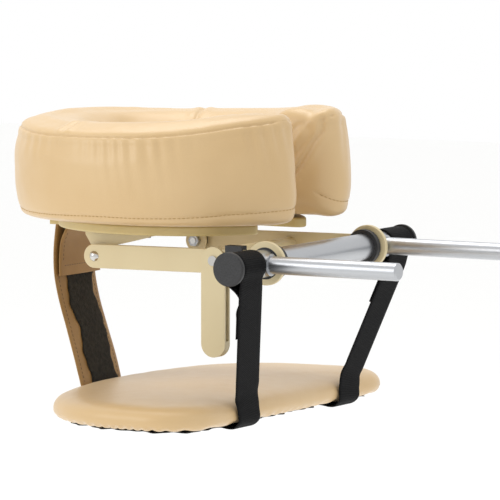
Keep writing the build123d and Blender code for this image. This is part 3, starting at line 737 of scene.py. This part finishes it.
# loop strip, cut by hand: its edges wander a millimetre or two
strip_rows = np.arange(5, top_row - 38)
inward = np.sign(lift[60, 0])
strip_line = strap_line[strip_rows] + lift[strip_rows] * inward * (STRAP_THICK / 2 + 0.0006)
strip_run = run[strip_rows]
strip_half = 0.0222 + 0.0011 * np.sin(strip_run * 160) + 0.0006 * np.sin(strip_run * 410 + 1)
strip_shift = 0.0040 + 0.0020 * np.sin(strip_run * 105 + 0.6)
strip, _, _, _ = band_mesh("strap_loop_pile", strip_line, strip_half, 0.0012, shifts=strip_shift)
strip.data.materials.append(hook_loop)
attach(strip, "front_strap")
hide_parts("strap_loop_strip")


# ---------------------------------------------------------------- rear webbing
# Two black polypropylene webbing straps. Each loops over an outer stub of the crossbar, comes
# down doubled, turns under the shelf's rear edge and is screwed to the board.

WEB_WIDE, WEB_THICK = 0.038, 0.0016
tube_low, tube_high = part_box("crossbar")
tube_x, tube_r = (tube_low.x + tube_high.x) / 2, (tube_high.z - tube_low.z) / 2
web_low, web_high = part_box("rear_webbing_far")
loop_y = web_high.y - WEB_WIDE / 2
foot_y = web_low.y + WEB_WIDE / 2
ring_r = tube_r + 0.0003 + WEB_THICK / 2

# Woven polypropylene: ribs across the band every two millimetres, a darker groove at each edge,
# and a slight plastic shine on the crowns of the ribs.
webbing = new_material("black_woven_webbing")
cut_map = add(webbing, "UVMap", uv_map="cut").outputs["UV"]
RIB_MM, YARN_MM = 2.0, 1.4
ribs = add(webbing, "TexWave", {"Vector": cut_map, "Scale": 100 * math.pi / RIB_MM, "Distortion": 0.6, "Detail": 1.0},
           bands_direction="Y")
yarns = add(webbing, "TexWave", {"Vector": cut_map, "Scale": 100 * math.pi / YARN_MM, "Distortion": 0.4}, bands_direction="X")
weave = add(webbing, "Math", {0: ribs.outputs["Fac"], 1: yarns.outputs["Fac"]}, operation="MULTIPLY")
web_tone = add(webbing, "ValToRGB", {"Fac": weave.outputs[0]}, stops=[(0.1, "#030304"), (0.9, "#0F0F11")]).outputs["Color"]
web_bump = add(webbing, "Bump", {"Height": weave.outputs[0], "Strength": 0.7, "Distance": 0.0006})
finish_material(webbing, add(webbing, "BsdfPrincipled", {
    "Base Color": web_tone, "Roughness": 0.75, "Specular IOR Level": 0.15, "Normal": web_bump.outputs["Normal"]}))

for side, label in ((-1, "near"), (1, "far")):
    back_x = pad_high.x + 0.0012
    under_z = pad_low.z - 0.0020
    path = [(back_x - 0.046, foot_y, under_z), (back_x - 0.020, foot_y, under_z), (back_x - 0.004, foot_y, under_z),
            (back_x + 0.0002, foot_y, under_z + 0.004), (back_x + 0.0006, foot_y + 0.001, pad_low.z + 0.014),
            (back_x + 0.0008, foot_y + 0.004, pad_low.z + 0.026)]
    rise_from, rise_to = np.array(path[-1]), np.array((tube_x + ring_r * 0.6, loop_y - 0.001, -ring_r - 0.004))
    for f in (0.08, 0.3, 0.6, 0.9, 0.97):
        path.append(tuple(rise_from + (rise_to - rise_from) * f))
    for a in np.radians(np.arange(-40, 236, 23)):
        path.append((tube_x + ring_r * math.cos(a), loop_y, ring_r * math.sin(a)))
    for f in (0.92, 0.80, 0.68, 0.60):
        p = rise_from + (rise_to - rise_from) * f
        path.append((p[0] - 0.0019, p[1], p[2]))
    web_line = loop_curve([(x, side * y, z) for x, y, z in path], 260, closed=False)
    band, _, _, _ = band_mesh(f"rear_webbing_band_{label}", web_line, np.full(len(web_line), WEB_WIDE / 2), WEB_THICK,
                              across_count=14)
    band.data.materials.append(webbing)
    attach(band, "arm_shelf")
    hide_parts(f"rear_webbing_{label}")
    length = float(np.linalg.norm(np.diff(web_line, axis=0), axis=1).sum())


# ---------------------------------------------------------------- arms, brackets and clamp lever
# Flat steel bars and pressed brackets, powder coated cream to go with the cover.

# Polyester powder coat: an even satin skin with a faint orange peel.
powder = new_material("cream_powder_coat")
powder_where = add(powder, "TexCoord").outputs["Object"]
peel = add(powder, "TexNoise", {"Vector": powder_where, "Scale": 420.0, "Detail": 3.0})
powder_drift = add(powder, "TexNoise", {"Vector": powder_where, "Scale": 14.0, "Detail": 2.0})
powder_tone = add(powder, "ValToRGB", {"Fac": powder_drift.outputs["Fac"]}, stops=[(0.3, "#C9B992"), (0.7, "#D1C29B")]).outputs["Color"]
powder_bump = add(powder, "Bump", {"Height": peel.outputs["Fac"], "Strength": 0.12, "Distance": 0.0005})
finish_material(powder, add(powder, "BsdfPrincipled", {
    "Base Color": powder_tone, "Roughness": 0.42, "Normal": powder_bump.outputs["Normal"], "IOR": 1.5}))
refinish(powder, "arm_near", "arm_far", "arm_tie_tube", "bracket_near", "bracket_far", "clamp_lever")


# ---------------------------------------------------------------- platform plate
# Nine millimetre board, cut to a horseshoe, its edges rounded over and sprayed cream.

# Sprayed lacquer over fibreboard: satin, with the board's faint mottle under the film. The cream is painted darker than
# the arms' as painted shade for the shadow the cushion casts on the plate.
lacquer = new_material("cream_lacquered_board")
board_where = add(lacquer, "TexCoord").outputs["Object"]
mottle = add(lacquer, "TexNoise", {"Vector": board_where, "Scale": 35.0, "Detail": 5.0})
# stops hold the board's cream painted darker: painted shade from the cushion overhead, with the mottle on top
board_tone_painted_shade = add(lacquer, "ValToRGB", {"Fac": mottle.outputs["Fac"]}, stops=[(0.3, "#BEA970"), (0.7, "#C8B47E")]).outputs["Color"]
fibre = add(lacquer, "TexNoise", {"Vector": board_where, "Scale": 500.0, "Detail": 3.0})
board_bump = add(lacquer, "Bump", {"Height": fibre.outputs["Fac"], "Strength": 0.1, "Distance": 0.0004})
finish_material(lacquer, add(lacquer, "BsdfPrincipled", {
    "Base Color": board_tone_painted_shade, "Roughness": 0.45, "Normal": board_bump.outputs["Normal"], "IOR": 1.5}))
refinish(lacquer, "platform_plate")


# ---------------------------------------------------------------- crossbar, posts and collars
# Drawn aluminium, left bare: the posts slide into the table's end.

# Drawn aluminium: fine lines along the draw, satin and slightly grey.
aluminium = new_material("satin_drawn_aluminium")
metal_where = add(aluminium, "TexCoord").outputs["Object"]
lines = add(aluminium, "TexNoise", {"Vector": metal_where, "Scale": 380.0, "Detail": 3.0})
metal_rough = add(aluminium, "MapRange", {"Value": lines.outputs["Fac"], "To Min": 0.26, "To Max": 0.42})
metal_bump = add(aluminium, "Bump", {"Height": lines.outputs["Fac"], "Strength": 0.06, "Distance": 0.0003})
finish_material(aluminium, add(aluminium, "BsdfPrincipled", {
    "Base Color": linear("#B4B6B9"), "Metallic": 1.0, "Roughness": metal_rough.outputs[0],
    "Normal": metal_bump.outputs["Normal"]}))
refinish(aluminium, "crossbar", "post_near", "post_far", "post_collars")


# ---------------------------------------------------------------- bolts, pins, nuts and screws
# Polished dome-head bolts outside, plain zinc-plated nuts and screws where they don't show.

# Polished chrome on steel: near mirror, with faint haze from handling.
chrome = new_material("polished_chrome")
haze_where = add(chrome, "TexCoord").outputs["Object"]
haze = add(chrome, "TexNoise", {"Vector": haze_where, "Scale": 300.0, "Detail": 4.0})
haze_rough = add(chrome, "MapRange", {"Value": haze.outputs["Fac"], "To Min": 0.05, "To Max": 0.16})
finish_material(chrome, add(chrome, "BsdfPrincipled", {
    "Base Color": linear("#C4C2BE"), "Metallic": 1.0, "Roughness": haze_rough.outputs[0]}))
refinish(chrome, "pivot_bolts", "lever_pin")

# Bright zinc plate: greyer and rougher than chrome, with a light crystal mottle.
zinc = new_material("bright_zinc_plate")
zinc_where = add(zinc, "TexCoord").outputs["Object"]
crystal = add(zinc, "TexVoronoi", {"Vector": zinc_where, "Scale": 450.0})
zinc_tone = add(zinc, "ValToRGB", {"Fac": crystal.outputs["Distance"]}, stops=[(0.1, "#9EA1A6"), (0.8, "#B9BBBE")]).outputs["Color"]
finish_material(zinc, add(zinc, "BsdfPrincipled", {
    "Base Color": zinc_tone, "Metallic": 1.0, "Roughness": 0.38}))
refinish(zinc, "strap_bar", "pivot_nuts", "bracket_screws", "shelf_strap_screws")


# ---------------------------------------------------------------- nylon caps, rings, bushes and brake shoe
# Moulded black nylon where metal would rub on metal, and to close the tube's ends.

# Moulded nylon with a spark-eroded mould texture: matt black, a little grey on the high spots.
nylon = new_material("black_moulded_nylon")
nylon_where = add(nylon, "TexCoord").outputs["Object"]
spark = add(nylon, "TexNoise", {"Vector": nylon_where, "Scale": 900.0, "Detail": 3.0})
nylon_tone = add(nylon, "ValToRGB", {"Fac": spark.outputs["Fac"]}, stops=[(0.35, "#141415"), (0.8, "#29292B")]).outputs["Color"]
nylon_bump = add(nylon, "Bump", {"Height": spark.outputs["Fac"], "Strength": 0.25, "Distance": 0.0003})
finish_material(nylon, add(nylon, "BsdfPrincipled", {
    "Base Color": nylon_tone, "Roughness": 0.55, "Normal": nylon_bump.outputs["Normal"], "IOR": 1.53}))
refinish(nylon, "crossbar_caps", "arm_stop_rings", "arm_bushes", "pivot_spacers", "brake_shoe")
